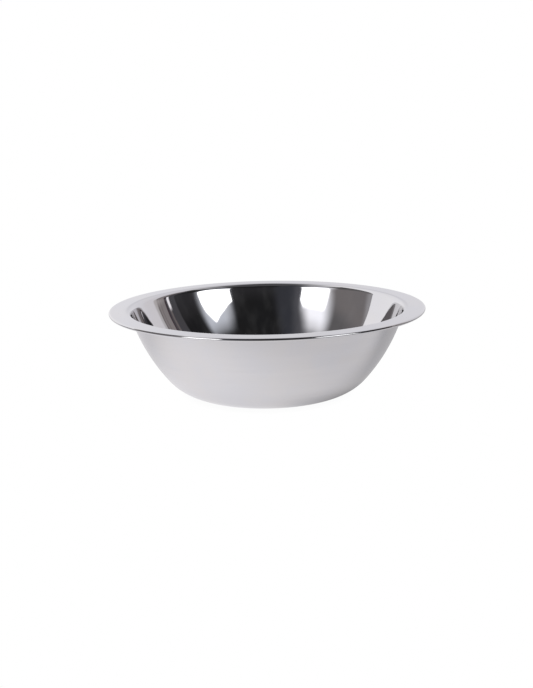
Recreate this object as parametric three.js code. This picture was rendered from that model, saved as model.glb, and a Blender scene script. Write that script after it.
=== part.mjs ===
// A wide-rimmed steel mixing bowl, pressed from one disc of sheet. Millimetres, +Z up, and
// the origin is at the centre of the base, on the surface that the bowl stands on.
//
// The whole bowl is one piece of metal. Its section is a strip of constant thickness that
// runs from the middle of the base, up the wall, out along the rim and round the hem, and
// the strip is turned once about the axis.
import * as THREE from "three";

// Driving dimensions
const rimDiameter = 240; // over the hem
const height = 66.5; // standing surface to the top of the rim
const sheet = 0.6; // thickness of the steel

const baseDiameter = 97; // where the base turns up into the heel
const panelDiameter = 70; // the middle of the base, pressed up so that the bowl can't rock
const panelRise = 0.8;
const panelBend = 2.5; // underside radius of the inner bend of the panel's step

const heelRadius = 37.5; // outside of the tight curve between base and wall
const heelSweep = THREE.MathUtils.degToRad(49.5);
const wallRadius = 134; // outside of the long curve of the wall
const shoulderRadius = 4; // underside of the bend from wall to rim

const hemThickness = 2.4; // over the folded edge of the rim
const hemReturn = 3.2; // flat edge turned back under the rim

// Facets of each bend, and of the turn
const panelSteps = 2;
const heelSteps = 6;
const wallSteps = 8;
const shoulderSteps = 4;
const hemSteps = 8; // even, so that one corner lies on the rim diameter
const turnSteps = 72;

const down = -Math.PI / 2; // angles are in the section's plane, from the outward direction
const up = Math.PI / 2;

// One bend of the section, about the centre (r, z). Its radius is the underside's. The top
// face lies one sheet nearer the centre where the bend is hollow upwards, and one sheet
// further out where the centre is on the underside.
function bend(r, z, radius, from, to, steps) {
  const centreIsBelow = to < from;
  return { r, z, radius, from, to, steps, side: centreIsBelow ? 1 : -1 };
}

// The step of the pressed-up panel: an inner bend about a centre below the sheet, and an
// outer bend of the same middle radius about a centre above it.
function panelStep() {
  const inner = panelBend;
  const outer = panelBend + sheet;
  const sweep = Math.acos(1 - panelRise / (inner + outer));
  const width = (inner + outer) * Math.sin(sweep);
  const edge = panelDiameter / 2;
  return [
    bend(edge - width, panelRise - inner, inner, up, up - sweep, panelSteps),
    bend(edge, outer, outer, down - sweep, down, panelSteps),
  ];
}

// Heel, wall and shoulder run into each other without a corner: each centre is placed so
// that the two curves share a tangent where they meet.
function side() {
  const heel = { r: baseDiameter / 2, z: heelRadius };
  const heelEnd = down + heelSweep;
  const wall = {
    r: heel.r - (wallRadius - heelRadius) * Math.cos(heelEnd),
    z: heel.z - (wallRadius - heelRadius) * Math.sin(heelEnd),
  };
  const shoulder = { z: height - sheet - shoulderRadius };
  const wallEnd = Math.asin((shoulder.z - wall.z) / (wallRadius + shoulderRadius));
  shoulder.r = wall.r + (wallRadius + shoulderRadius) * Math.cos(wallEnd);
  return [
    bend(heel.r, heel.z, heelRadius, down, heelEnd, heelSteps),
    bend(wall.r, wall.z, wallRadius, heelEnd, wallEnd, wallSteps),
    bend(shoulder.r, shoulder.z, shoulderRadius, wallEnd + Math.PI, up, shoulderSteps),
  ];
}

// The rim's edge, folded round half a turn. The flat rim lies between this and the shoulder.
function hem() {
  const half = hemThickness / 2;
  return [bend(rimDiameter / 2 - half, height - half, half - sheet, up, down, hemSteps)];
}

// The faces of the strip: offset 0 is the underside, and offset sheet is the top face. Two
// bends that meet at a tangent share the point between them.
function face(bends, offset) {
  const points = [];
  for (const b of bends) {
    const radius = b.radius + b.side * offset;
    for (let i = 0; i <= b.steps; i++) {
      const angle = b.from + ((b.to - b.from) * i) / b.steps;
      const point = new THREE.Vector2(Math.cos(angle), Math.sin(angle)).multiplyScalar(radius);
      point.add(new THREE.Vector2(b.r, b.z));
      const shared = points.length > 0 && point.distanceTo(points[points.length - 1]) < sheet / 100;
      if (!shared) points.push(point);
    }
  }
  const axisEnd = new THREE.Vector2(0, points[0].y);
  const last = points[points.length - 1];
  const hemEnd = new THREE.Vector2(last.x - hemReturn, last.y);
  return [axisEnd, ...points, hemEnd];
}

// The closed outline of the section, turned about the axis.
function bowlGeometry() {
  const bends = [...panelStep(), ...side(), ...hem()];
  const outline = [...face(bends, 0), ...face(bends, sheet).reverse()];
  return new THREE.LatheGeometry(outline, turnSteps).rotateX(Math.PI / 2);
}

const polishedSteel = new THREE.MeshStandardMaterial({
  color: new THREE.Color(0.64, 0.63, 0.64),
  metalness: 1,
  roughness: 0.1,
});

const bowl = new THREE.Mesh(bowlGeometry(), polishedSteel);
bowl.name = "bowl";

const mixingBowl = new THREE.Group();
mixingBowl.add(bowl);

export default mixingBowl;
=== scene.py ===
"""A polished steel mixing bowl with a wide flat rim, on a pale floor in soft studio light.

Metres, +Z up, in the frame of the CAD model: the bowl's axis is Z, it stands on z = 0, and
the camera looks along +Y. The bowl is one sheet of steel, so there is one piece.
"""

import math
from collections import namedtuple

import bpy
from mathutils import Matrix, Vector


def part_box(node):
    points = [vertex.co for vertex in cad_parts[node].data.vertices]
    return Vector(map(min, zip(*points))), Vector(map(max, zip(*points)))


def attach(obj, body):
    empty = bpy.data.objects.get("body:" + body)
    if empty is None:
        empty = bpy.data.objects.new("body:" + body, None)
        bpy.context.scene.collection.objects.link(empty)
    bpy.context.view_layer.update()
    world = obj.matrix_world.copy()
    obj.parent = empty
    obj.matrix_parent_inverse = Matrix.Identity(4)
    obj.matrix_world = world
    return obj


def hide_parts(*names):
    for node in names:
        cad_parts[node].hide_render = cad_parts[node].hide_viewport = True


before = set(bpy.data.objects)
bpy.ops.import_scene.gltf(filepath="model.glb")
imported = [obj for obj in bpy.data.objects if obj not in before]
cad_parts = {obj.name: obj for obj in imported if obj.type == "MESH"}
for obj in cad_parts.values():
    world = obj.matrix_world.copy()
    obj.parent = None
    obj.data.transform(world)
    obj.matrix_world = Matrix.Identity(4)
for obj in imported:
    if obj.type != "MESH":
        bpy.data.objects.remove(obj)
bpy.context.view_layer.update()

MM = 0.001

# The bowl. Its rim diameter and its height come from the frame.
RIM_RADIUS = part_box("bowl")[1].x
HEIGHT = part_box("bowl")[1].z
SHEET = 0.6 * MM
BASE_RADIUS = 48.5 * MM
PANEL_RADIUS = 35 * MM
PANEL_RISE = 0.8 * MM
PANEL_BEND = 2.5 * MM
HEEL_RADIUS = 37.5 * MM
HEEL_SWEEP = math.radians(49.5)
WALL_RADIUS = 134 * MM
SHOULDER_RADIUS = 4 * MM
HEM_THICKNESS = 2.4 * MM
HEM_RETURN = 3.2 * MM

# The mesh: how many steps round the axis, and the longest step along the section
TURNS = 256
LONGEST_STEP = 1.6 * MM
BEND_STEP = math.radians(4)
EDGE_STEPS = 6
SAME_PLACE = 0.001  # share of the longest step: stations nearer than this are one station

# How far the pressed wall stands off its true curve, which is hundredths of a millimetre.
# Waves round the bowl: height in mm, number, phase, and turn of the phase per metre of wall
WAVES = [(0.020, 3, 0.6, 20), (0.010, 7, 2.1, -35), (0.004, 17, 4.0, 0)]
# Rings left by the press: height, length over one radian, both in mm, and phase
RINGS = [(0.0035, 2.1, 0), (0.003, 1.3, 2)]
SWELL_MIDDLE = 100 * MM  # along the sheet from the axis, where the swell is highest
SWELL_WIDTH = 34 * MM

# Angles in the section's plane, from the outward direction
DOWN = -math.pi / 2
UP = math.pi / 2

# A bend of the section about the centre (r, z), at mid-sheet
Bend = namedtuple("Bend", "r z radius start end")
# A place on the section at mid-sheet, and the direction that the top face looks in there
Station = namedtuple("Station", "r z normal")
# A point of the outline: along is the distance from the axis along the sheet, and outside is
# 0 on the top face and 1 on the underside
Point = namedtuple("Point", "r z normal along outside")


# ---------------------------------------------------------------- the bowl's shape


def panel_step():
    """The small step up to the raised middle of the base. Radii are at mid-sheet."""
    radius = PANEL_BEND + SHEET / 2
    sweep = math.acos(1 - PANEL_RISE / (2 * radius))
    width = 2 * radius * math.sin(sweep)
    floor = SHEET / 2
    return [
        Bend(PANEL_RADIUS - width, floor + PANEL_RISE - radius, radius, UP, UP - sweep),
        Bend(PANEL_RADIUS, floor + radius, radius, DOWN - sweep, DOWN),
    ]


def side():
    """Heel, wall and shoulder, each running into the next without a corner."""
    heel = Bend(BASE_RADIUS, HEEL_RADIUS, HEEL_RADIUS - SHEET / 2, DOWN, DOWN + HEEL_SWEEP)
    apart = WALL_RADIUS - HEEL_RADIUS
    wall_r = heel.r - apart * math.cos(heel.end)
    wall_z = heel.z - apart * math.sin(heel.end)
    shoulder_z = HEIGHT - SHEET - SHOULDER_RADIUS
    reach = WALL_RADIUS + SHOULDER_RADIUS
    wall_end = math.asin((shoulder_z - wall_z) / reach)
    shoulder_r = wall_r + reach * math.cos(wall_end)
    return [
        heel,
        Bend(wall_r, wall_z, WALL_RADIUS - SHEET / 2, heel.end, wall_end),
        Bend(shoulder_r, shoulder_z, SHOULDER_RADIUS + SHEET / 2, wall_end + math.pi, UP),
    ]


def hem():
    """The rim's edge, folded round half a turn."""
    half = HEM_THICKNESS / 2
    return Bend(RIM_RADIUS - half, HEIGHT - half, half - SHEET / 2, UP, DOWN)


def bend_stations(bend):
    """Stations round a bend, closer together where it is tight."""
    sweep = bend.end - bend.start
    steps = max(2, math.ceil(abs(sweep) / BEND_STEP))
    steps = max(steps, math.ceil(abs(sweep) * bend.radius / LONGEST_STEP))
    outward = 1 if sweep < 0 else -1
    stations = []
    for i in range(steps + 1):
        angle = bend.start + sweep * i / steps
        ray = Vector((math.cos(angle), math.sin(angle)))
        place = Vector((bend.r, bend.z)) + bend.radius * ray
        stations.append(Station(place.x, place.y, outward * ray))
    return stations


def distance(a, b):
    return math.hypot(b.r - a.r, b.z - a.z)


def section():
    """Stations at mid-sheet from the axis to the cut edge under the rim."""
    corners = [Station(0, PANEL_RISE + SHEET / 2, Vector((0, 1)))]
    for bend in panel_step() + side() + [hem()]:
        corners += bend_stations(bend)
    last = corners[-1]
    corners.append(Station(last.r - HEM_RETURN, last.z, last.normal))
    line = corners[:1]
    for b in corners[1:]:
        a = line[-1]
        steps = math.ceil(distance(a, b) / LONGEST_STEP - SAME_PLACE)
        for i in range(1, steps + 1):
            t = i / steps
            line.append(Station(a.r + (b.r - a.r) * t, a.z + (b.z - a.z) * t, b.normal))
    return line


def swell(along, turn):
    """How far the sheet stands off its true curve at one place."""
    on_wall = math.exp(-(((along - SWELL_MIDDLE) / SWELL_WIDTH) ** 2))
    off = 0.0
    for high, number, phase, drift in WAVES:
        off += high * math.sin(number * turn + phase + drift * along)
    for high, length, phase in RINGS:
        off += high * math.sin(along / (length * MM) + phase)
    return off * MM * on_wall


def outline():
    """The section's outline: the top face out to the cut edge, round it, and back."""
    line = section()
    along = [0.0]
    for a, b in zip(line, line[1:]):
        along.append(along[-1] + distance(a, b))
    half = SHEET / 2
    faces = []
    for outside, direction in ((0, half), (1, -half)):
        face = []
        for station, length in zip(line, along):
            r = station.r + direction * station.normal.x
            z = station.z + direction * station.normal.y
            face.append(Point(r, z, station.normal, length, outside))
        faces.append(face)
    return faces[0] + cut_edge(line[-1], along[-1]) + faces[1][::-1]


def cut_edge(end, along):
    """The edge of the sheet, rounded as a sheared edge is after deburring."""
    points = []
    for i in range(1, EDGE_STEPS):
        angle = math.pi * i / EDGE_STEPS
        r = end.r - SHEET / 2 * math.sin(angle)
        z = end.z + SHEET / 2 * end.normal.y * math.cos(angle)
        points.append(Point(r, z, end.normal, along, i / EDGE_STEPS))
    return points


def turned_vertices(points):
    """The outline's points turned about the axis, with one vertex where each face meets the
    axis, and the two values at each vertex that the steel's material reads."""
    vertices = []
    values = []
    for k, p in enumerate(points):
        on_axis = k in (0, len(points) - 1)
        for i in range(1 if on_axis else TURNS):
            turn = 2 * math.pi * i / TURNS
            off = swell(p.along, turn)
            r = p.r + off * p.normal.x
            z = p.z + off * p.normal.y
            vertices.append((r * math.cos(turn), r * math.sin(turn), z))
            values.append((p.along / MM, p.outside))
    return vertices, values


def turned_faces(rings):
    """Faces from each ring of vertices to the next, and a fan at each end to the axis."""
    first = 1
    last = first + (rings - 1) * TURNS
    tip = last + TURNS
    faces = []
    for i in range(TURNS):
        faces.append((0, first + i, first + (i + 1) % TURNS))
    for ring in range(first, last, TURNS):
        for i in range(TURNS):
            j = (i + 1) % TURNS
            faces.append((ring + i, ring + TURNS + i, ring + TURNS + j, ring + j))
    for i in range(TURNS):
        faces.append((last + i, tip, last + (i + 1) % TURNS))
    return faces


def bowl_mesh():
    points = outline()
    vertices, values = turned_vertices(points)
    mesh = bpy.data.meshes.new("bowl_sheet")
    mesh.from_pydata(vertices, [], turned_faces(len(points) - 2))
    for number, name in enumerate(("along_mm", "outside")):
        layer = mesh.attributes.new(name, "FLOAT", "POINT")
        layer.data.foreach_set("value", [v[number] for v in values])
    mesh.shade_smooth()
    mesh.validate()
    return mesh


# ---------------------------------------------------------------- node helpers


class Tree:
    """Short names for the nodes that the materials and the studio use."""

    def __init__(self, owner):
        owner.use_nodes = True
        self.tree = owner.node_tree
        self.tree.nodes.clear()

    def add(self, kind, **settings):
        node = self.tree.nodes.new("ShaderNode" + kind)
        for name, value in settings.items():
            setattr(node, name, value)
        return node

    def feed(self, socket, value):
        if isinstance(value, bpy.types.NodeSocket):
            self.tree.links.new(value, socket)
        else:
            socket.default_value = value

    def math(self, operation, *values, clamp=False):
        node = self.add("Math", operation=operation, use_clamp=clamp)
        for socket, value in zip(node.inputs, values):
            self.feed(socket, value)
        return node.outputs[0]

    def vector(self, operation, *values):
        node = self.add("VectorMath", operation=operation)
        for socket, value in zip(node.inputs, values):
            self.feed(socket, value)
        return node.outputs["Value" if operation in ("LENGTH", "DOT_PRODUCT") else "Vector"]

    def join(self, x, y, z):
        node = self.add("CombineXYZ")
        for socket, value in zip(node.inputs, (x, y, z)):
            self.feed(socket, value)
        return node.outputs[0]

    def split(self, vector):
        node = self.add("SeparateXYZ")
        self.feed(node.inputs[0], vector)
        return node.outputs

    def ramp(self, value, start, end, low=0.0, high=1.0):
        """low where value is start, high where it is end, and a soft curve between."""
        node = self.add("MapRange", interpolation_type="SMOOTHSTEP")
        for socket, number in zip(node.inputs, (value, start, end, low, high)):
            self.feed(socket, number)
        return node.outputs[0]

    def mix(self, amount, a, b, clamp=True):
        """Colour a where amount is 0, and b where it is 1."""
        node = self.add("Mix", data_type="RGBA", clamp_factor=clamp)
        self.feed(node.inputs["Factor"], amount)
        for socket, value in ((node.inputs[6], a), (node.inputs[7], b)):
            self.feed(socket, value)
        return node.outputs[2]

    def noise(self, place, scale, detail=2.0, roughness=0.5):
        node = self.add("TexNoise")
        self.feed(node.inputs["Vector"], place)
        node.inputs["Scale"].default_value = scale
        node.inputs["Detail"].default_value = detail
        node.inputs["Roughness"].default_value = roughness
        return node.outputs["Fac"]

    def value(self, name):
        node = self.add("Attribute", attribute_name=name)
        return node.outputs["Fac"]

    def bump(self, height, depth, normal=None):
        """A relief that is depth high where height is 1, on top of another if it is given."""
        node = self.add("Bump")
        node.inputs["Strength"].default_value = 1.0
        node.inputs["Distance"].default_value = depth
        self.feed(node.inputs["Height"], height)
        if normal is not None:
            self.feed(node.inputs["Normal"], normal)
        return node.outputs[0]


def grey(level):
    return (level, level, level, 1)


# ---------------------------------------------------------------- the steel

# Roughness
MIRROR = 0.035  # inside, and on top of the rim
SATIN = 0.16  # outside
SMOOTHEST = 0.02
POLISH_VARIATION = 0.03
SMUDGE = 0.03
SCUFF_LEAST = 0.05
SCUFF_MOST = 0.28

# Relief
POLISH_LINE = 0.0009 * MM
ORANGE_PEEL = 0.006 * MM

# Marks per metre
CLOUDS = 28.0
SMUDGES = 95.0
PEEL_DIMPLES = 160.0
SCUFFS = 900.0

# Marks per millimetre along the section, of the polish that runs round the bowl
FINE_LINES = 2.2
BROAD_BANDS = 0.22


def steel_material():
    """Polished sheet steel: a mirror inside and on the rim, a plainer polish outside."""
    material = bpy.data.materials.new("polished_steel")
    t = Tree(material)
    place = t.add("TexCoord").outputs["Object"]
    x, y, z = t.split(place)
    along = t.value("along_mm")
    outside = t.value("outside")
    radius = t.vector("LENGTH", t.join(x, y, 0.0))
    round_x = t.math("DIVIDE", x, t.math("MAXIMUM", radius, MM))
    round_y = t.math("DIVIDE", y, t.math("MAXIMUM", radius, MM))

    # Polishing lines run round the bowl: fine across the section, long round the axis.
    twice_x = t.math("MULTIPLY", round_x, 2.0)
    twice_y = t.math("MULTIPLY", round_y, 2.0)
    fine = t.join(twice_x, twice_y, t.math("MULTIPLY", along, FINE_LINES))
    fine = t.noise(fine, 1.0, 3.0, 0.6)
    bands = t.join(round_x, round_y, t.math("MULTIPLY", along, BROAD_BANDS))
    bands = t.noise(bands, 1.0, 2.0)
    # Smudges from handling, and cloudy patches a few centimetres across
    clouds = t.noise(place, CLOUDS, 3.0, 0.55)
    smudges = t.noise(place, SMUDGES, 4.0, 0.6)

    shader = t.add("BsdfPrincipled")
    shader.inputs["Metallic"].default_value = 1.0
    t.feed(shader.inputs["Base Color"], steel_colour(t, clouds, bands))
    wear = base_wear(t, place, radius, z, outside)
    t.feed(shader.inputs["Roughness"], steel_roughness(t, fine, bands, smudges, outside, wear))
    t.feed(shader.inputs["Normal"], steel_bump(t, fine, place))
    out = t.add("OutputMaterial")
    t.feed(out.inputs["Surface"], shader.outputs[0])
    return material


def steel_colour(t, clouds, bands):
    """Slightly warm and slightly cool patches, a little duller in bands round the bowl."""
    cool = (0.625, 0.622, 0.640, 1)
    warm = (0.640, 0.628, 0.630, 1)
    patches = t.mix(t.ramp(clouds, 0.35, 0.65), cool, warm)
    return t.mix(t.ramp(bands, 0.3, 0.7, 0.0, 0.06), patches, grey(0.5))


def steel_roughness(t, fine, bands, smudges, outside, wear):
    """Near zero inside; a soft satin outside; rougher where the base rubs."""
    base = t.ramp(outside, 0.2, 0.8, MIRROR, SATIN)
    lines = t.math("MULTIPLY", t.math("SUBTRACT", fine, 0.5), POLISH_VARIATION)
    broad = t.math("MULTIPLY", t.math("SUBTRACT", bands, 0.5), POLISH_VARIATION)
    touched = t.ramp(smudges, 0.55, 0.8, 0.0, SMUDGE)
    total = t.math("ADD", base, t.math("ADD", lines, t.math("ADD", broad, touched)))
    return t.math("ADD", t.math("MAXIMUM", total, SMOOTHEST), wear, clamp=True)


def base_wear(t, place, radius, z, outside):
    """Scuffs on the ring that the bowl stands on, which starts at the edge of the panel."""
    near = t.math("MULTIPLY", t.ramp(z, 0.1 * MM, 1.0 * MM, 1.0, 0.0), outside)
    ring = t.ramp(radius, PANEL_RADIUS - 2 * MM, PANEL_RADIUS + 1 * MM)
    scuffs = t.ramp(t.noise(place, SCUFFS, 2.0), 0.4, 0.7, SCUFF_LEAST, SCUFF_MOST)
    return t.math("MULTIPLY", t.math("MULTIPLY", near, ring), scuffs)


def steel_bump(t, fine, place):
    """Polishing lines under a faint orange peel, both thousandths of a millimetre high."""
    lines = t.bump(fine, POLISH_LINE)
    return t.bump(t.noise(place, PEEL_DIMPLES, 1.0), ORANGE_PEEL, lines)


def make_bowl():
    piece = bpy.data.objects.new("steel_bowl", bowl_mesh())
    bpy.context.scene.collection.objects.link(piece)
    piece.data.materials.append(steel_material())
    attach(piece, "root")
    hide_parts("bowl")


# ---------------------------------------------------------------- the studio

# A panel of the studio round the bowl. Its corners are directions seen from the bowl, in
# degrees: azimuth from the camera's side, positive to the right, and height above the floor.
# Its sides run from each corner to the next, and soft says how soft each is, in degrees:
# one number for all the sides, or one for each.
Panel = namedtuple("Panel", "name corners soft light")

# The floor hides everything below about -1, so panels that stand on it run on down to here:
FOOT = -9
DEEP = -40  # where the lower side is a soft one


def post(azimuth, width, light):
    """A narrow upright stand or edge on the right, leaning a little outward."""
    low, high = azimuth - 3, azimuth + 6
    half = width / 2
    corners = [(low - half, FOOT), (high - half, 50), (high + half, 50), (low + half, FOOT)]
    return Panel("post", corners, 1.0, light)


# In the order in which they are laid over each other
PANELS = [
    # The backdrop, beyond the bowl and round its sides
    Panel("left part of the backdrop", [(-171, DEEP), (-171, 62), (-60, 62), (-60, DEEP)],
          (20, 30, 20, 30), (1.05, 1.04, 1.07)),
    Panel("bright end of the backdrop", [(-150, DEEP), (-150, 62), (-60, 62), (-60, DEEP)],
          (40, 30, 20, 30), (1.15, 1.14, 1.16)),
    Panel("right part of the backdrop", [(60, DEEP), (60, 62), (171, 62), (171, DEEP)],
          (20, 30, 18, 30), (0.92, 0.91, 0.95)),
    # The dark side of the room, behind the camera
    Panel("dark side, behind the camera", [(-99.7, FOOT), (-127, 58), (120, 58), (114, FOOT)],
          (1.5, 2, 3, 2), (0.018, 0.018, 0.019)),
    Panel("lower part of the dark side", [(-40, FOOT), (-40, 27), (95, 27), (95, FOOT)],
          (8, 12, 8, 8), (0.034, 0.033, 0.036)),
    Panel("haze beside the left light", [(-56, FOOT), (-56, 60), (-26, 60), (-8, 34), (-8, FOOT)],
          (6, 8, 14, 14, 8), (0.050, 0.052, 0.062)),
    Panel("bright haze by the left light", [(-56, FOOT), (-56, 58), (-40, 58), (-26, 30), (-26, FOOT)],
          (6, 8, 14, 10, 8), (0.105, 0.105, 0.118)),
    # A wall on the left
    Panel("left wall", [(-99.7, FOOT), (-124.6, 52), (-66, 52), (-66, FOOT)],
          (1.5, 8, 8, 8), (0.150, 0.144, 0.146)),
    Panel("left wall, lower part", [(-87, DEEP), (-115.2, 29), (-50, 29), (-50, DEEP)],
          (1.5, 10, 10, 10), (0.228, 0.212, 0.214)),
    Panel("pale left edge of the left wall", [(-87, DEEP), (-112.3, 22), (-105, 18), (-80, DEEP)],
          (1.5, 6, 8, 6), (0.40, 0.39, 0.40)),
    # The two lights, each with its glow
    Panel("glow of the left light", [(-58, 17), (-74, 45.5), (-46.8, 45.5), (-33.8, 29), (-34.5, 17)],
          (16, 20, 13, 6, 8), (1.50, 1.50, 1.56)),
    Panel("lower part of the left light", [(-60.5, FOOT), (-61, 20), (-33.4, 20), (-33.4, FOOT)],
          (3, 6, 1.4, 1), (0.98, 0.98, 1.00)),
    Panel("foot of the left light", [(-60.5, FOOT), (-60.7, 8), (-33.4, 8), (-33.4, FOOT)],
          (3, 4, 1.4, 1), (3.0, 3.0, 3.0)),
    Panel("left light", [(-60.2, 18), (-61.2, 31), (-36.5, 33.2), (-33.4, 29.5), (-33.4, 18)],
          (4, 5, 2, 1.4, 4), (3.0, 3.0, 3.0)),
    Panel("glow of the right light",
          [(36, 17), (35.2, 31), (42.5, 45), (73, 44), (70.3, 30), (70.3, 17)],
          (8, 16, 15, 16, 8, 8), (0.76, 0.79, 0.86)),
    Panel("lower part of the right light", [(36.5, FOOT), (35.5, 20), (67, 20), (68, FOOT)],
          (1, 6, 1.6, 1), (0.98, 0.98, 1.00)),
    Panel("right light", [(35.5, 18), (34.6, 29.5), (59, 39.2), (63, 34.5), (66.4, 27), (67, 18)],
          (0.8, 1.2, 3, 3, 1.6, 4), (2.8, 2.8, 2.8)),
    # A wall and a folding screen on the right, and the near end of the backdrop
    Panel("right wall", [(91.5, FOOT), (94, 52), (120, 52), (114, FOOT)], 1.5, (0.082, 0.080, 0.088)),
    Panel("grey screen", [(102.4, FOOT), (108, 52), (120, 52), (114, FOOT)], 1.5, (0.31, 0.28, 0.278)),
    Panel("pale end of the grey screen", [(114, FOOT), (118, 52), (130, 52), (130, FOOT)],
          2.5, (0.62, 0.60, 0.61)),
    Panel("near end of the backdrop", [(117, DEEP), (120, 56), (136, 56), (136, DEEP)],
          (2.5, 2, 12, 2), (0.87, 0.85, 0.89)),
    Panel("side of the grey screen", [(100.4, 16), (105, 52), (107.5, 52), (102.6, 16)],
          (1, 5, 1, 5), (0.19, 0.165, 0.165)),
    post(104.0, 1.5, (0.062, 0.040, 0.050)),
    post(110.6, 0.8, (0.22, 0.19, 0.19)),
    post(114.0, 1.0, (0.17, 0.15, 0.15)),
    Panel("gap of light", [(98.5, FOOT), (99.4, 17.5), (102.0, 17.5), (101.4, FOOT)],
          (1.2, 3, 0.8, 1), (1.25, 1.21, 1.24)),
    Panel("foot of the grey screen", [(96.5, DEEP), (97, 10.5), (119, 10.5), (122, DEEP)],
          (2, 6, 3, 2), (0.60, 0.56, 0.56)),
]

BACKDROP = (0.820, 0.814, 0.855, 1)
CEILING = (0.085, 0.084, 0.090, 1)
CEILING_STARTS = 46.0  # degrees above the floor
CEILING_FULL = 62.0


def panel_mask(t, direction, panel):
    """1 inside the panel and 0 outside it, with soft sides. The panel has to be convex."""
    corners = [Vector(c) for c in panel.corners]
    middle = sum(corners, Vector((0, 0))) / len(corners)
    softness = panel.soft if isinstance(panel.soft, tuple) else (panel.soft,) * len(corners)
    mask = None
    for a, b, soft in zip(corners, corners[1:] + corners[:1], softness):
        inward = Vector((a.y - b.y, b.x - a.x)).normalized()
        if inward.dot(middle - a) < 0:
            inward = -inward
        across = t.vector("DOT_PRODUCT", direction, (inward.x, inward.y, 0.0))
        at = inward.dot(a)
        side = t.ramp(across, at - soft / 2, at + soft / 2)
        mask = side if mask is None else t.math("MULTIPLY", mask, side)
    return mask


def make_world():
    """The studio as the bowl sees it; the camera sees plain white."""
    world = bpy.data.worlds.new("studio")
    bpy.context.scene.world = world
    t = Tree(world)
    x, y, z = t.split(t.add("TexCoord").outputs["Generated"])
    azimuth = t.math("DEGREES", t.math("ARCTAN2", x, t.math("MULTIPLY", y, -1.0)))
    height = t.math("DEGREES", t.math("ARCSINE", z))
    direction = t.join(azimuth, height, 0.0)
    colour = t.mix(t.ramp(height, CEILING_STARTS, CEILING_FULL), BACKDROP, CEILING)
    for panel in PANELS:
        mask = panel_mask(t, direction, panel)
        mask.node.label = panel.name
        colour = t.mix(mask, colour, (*panel.light, 1))
    # Dim, cloudy shapes in the dark room
    clouds = t.noise(t.vector("MULTIPLY", direction, (1.0, 0.7, 0.0)), 0.075, 2.0, 0.5)
    colour = t.mix(t.ramp(clouds, 0.40, 0.75, 0.0, 0.020), colour, grey(1.0))
    seen = t.mix(t.add("LightPath").outputs["Is Camera Ray"], colour, grey(1.0))
    background = t.add("Background")
    t.feed(background.inputs["Color"], seen)
    out = t.add("OutputWorld")
    t.feed(out.inputs["Surface"], background.outputs[0])


# ---------------------------------------------------------------- the floor

FLOOR_SIZE = 8.0
PAPER_TINT = (1.0, 0.985, 1.01, 1)
# The middle of the painted pool of light on the floor
POOL_PLACE = (-0.085, -0.075, 0.0)
POOL_STRETCH = (1.0, 1.5, 1.0)  # the painted pool of light fades faster to the front and back than sideways
INTO_SHADOW = (-0.32, 0.947, 0.0)  # square to the front edge of the bowl's painted shadow
ACROSS_STREAK = (-0.669, 0.743, 0.0)  # square to the left light's painted streak of light on the floor
# How far the painted contact shadow reaches
CONTACT_REACH = 6 * MM


def painted_pool_of_light(t, place):
    """A painted pool of light on the floor, brightest to the left of the bowl."""
    away = t.vector("MULTIPLY", t.vector("SUBTRACT", place, POOL_PLACE), POOL_STRETCH)
    return t.ramp(t.vector("LENGTH", away), 0.02, 0.19, 1.04, 0.79)


def shadow(t, place, x):
    """A painted shadow of the bowl on the floor, on its right and behind it."""
    behind = t.ramp(t.vector("DOT_PRODUCT", place, INTO_SHADOW), -0.0875, -0.0375)
    return t.math("MULTIPLY", behind, t.ramp(x, 0.0, 0.06, 0.0, 0.32))


def painted_shade_under_bowl(t, from_axis, x):
    """Painted shade: close under the bowl the floor is dimmer, most of all on the right."""
    close = t.ramp(from_axis, 0.058, 0.084, 1.0, 0.0)
    return t.math("MULTIPLY", close, t.ramp(x, -0.005, 0.055, 0.10, 0.46))


def painted_dark_past_paper_edge(t, place, from_axis, x, y):
    """Painted shade: dark in front of the paper's edge, except for the left light's painted streak of
    light on the floor.
    """
    sideways = t.math("MULTIPLY", t.math("ABSOLUTE", x), 0.36)
    in_front = t.ramp(t.math("SUBTRACT", y, sideways), -0.02, 0.04, 1.0, 0.0)
    far = t.ramp(from_axis, 0.22, 0.34, 0.0, 0.93)
    from_streak = t.math("ABSOLUTE", t.vector("DOT_PRODUCT", place, ACROSS_STREAK))
    unlit = t.ramp(from_streak, 0.05, 0.10)
    return t.math("MULTIPLY", in_front, t.math("MULTIPLY", far, unlit))


def floor_light(t, place):
    """The light painted on the floor: how bright the bowl sees each place on it."""
    x, y, _ = t.split(place)
    from_axis = t.vector("LENGTH", place)
    shades = [shadow(t, place, x), painted_shade_under_bowl(t, from_axis, x)]
    shades.append(painted_dark_past_paper_edge(t, place, from_axis, x, y))
    level = painted_pool_of_light(t, place)
    for shade in shades:
        level = t.math("MULTIPLY", level, t.math("SUBTRACT", 1.0, shade))
    return level


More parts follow.
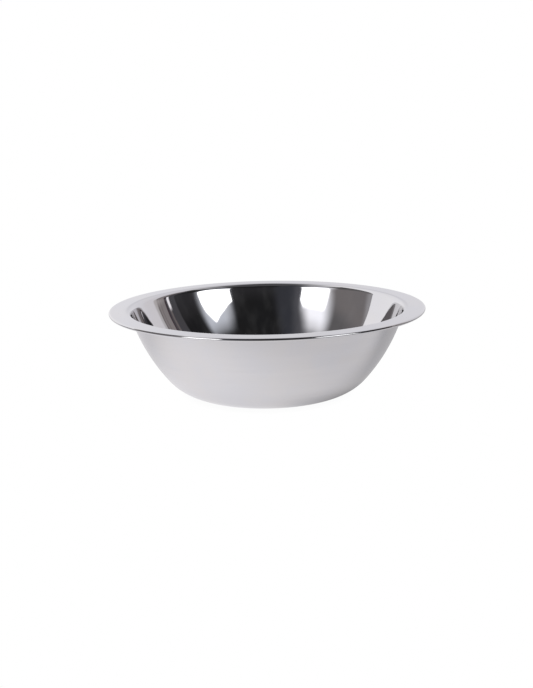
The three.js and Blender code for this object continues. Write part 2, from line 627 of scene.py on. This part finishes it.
def floor_material():
    """White paper that glows with the painted light levels of floor_light, which the bowl sees in
    reflection. The camera sees it evenly white, with a trace of a painted contact shadow."""
    material = bpy.data.materials.new("pale_floor")
    t = Tree(material)
    place = t.add("TexCoord").outputs["Object"]
    level = floor_light(t, place)
    # The painted light levels, glowing in the paper's tint
    lit = t.mix(level, grey(0.0), PAPER_TINT, clamp=False)
    # A painted contact shadow for the camera: the white dims a little where ambient occlusion finds
    # the bowl close by
    touching = t.add("AmbientOcclusion", samples=16)
    touching.inputs["Distance"].default_value = CONTACT_REACH
    contact = t.ramp(touching.outputs["AO"], 0.0, 0.8, 0.975, 1.0)
    camera = t.add("LightPath").outputs["Is Camera Ray"]
    emission = t.add("Emission")
    t.feed(emission.inputs["Color"], t.mix(camera, lit, t.join(contact, contact, contact)))
    out = t.add("OutputMaterial")
    t.feed(out.inputs["Surface"], emission.outputs[0])
    return material


def make_floor():
    half = FLOOR_SIZE / 2
    corners = [(-half, -half, 0), (half, -half, 0), (half, half, 0), (-half, half, 0)]
    mesh = bpy.data.meshes.new("floor")
    mesh.from_pydata(corners, [], [(0, 1, 2, 3)])
    floor = bpy.data.objects.new("floor", mesh)
    bpy.context.scene.collection.objects.link(floor)
    floor.data.materials.append(floor_material())


# ---------------------------------------------------------------- the camera

CAMERA_DISTANCE = 0.8076  # from the middle of the rim
CAMERA_HEIGHT = math.radians(10.45)
CAMERA_ROLL = math.radians(-1.08)
LENS_MM = 55.185
SENSOR_MM = 36
AIM = Vector((-0.00086, 0, 0.0363))  # the point in the middle of the picture


def make_camera():
    data = bpy.data.cameras.new("camera")
    data.lens = LENS_MM
    data.sensor_width = SENSOR_MM
    data.clip_start = 0.01
    camera = bpy.data.objects.new("camera", data)
    bpy.context.scene.collection.objects.link(camera)
    back = Vector((0, -math.cos(CAMERA_HEIGHT), math.sin(CAMERA_HEIGHT)))
    place = Vector((0, 0, HEIGHT)) + CAMERA_DISTANCE * back
    facing = (AIM - place).to_track_quat("-Z", "Y").to_matrix().to_4x4()
    camera.matrix_world = Matrix.Translation(place) @ facing @ Matrix.Rotation(CAMERA_ROLL, 4, "Z")
    bpy.context.scene.camera = camera


def main():
    make_bowl()
    make_world()
    make_floor()
    make_camera()
    bpy.context.scene.view_settings.view_transform = "Standard"


main()
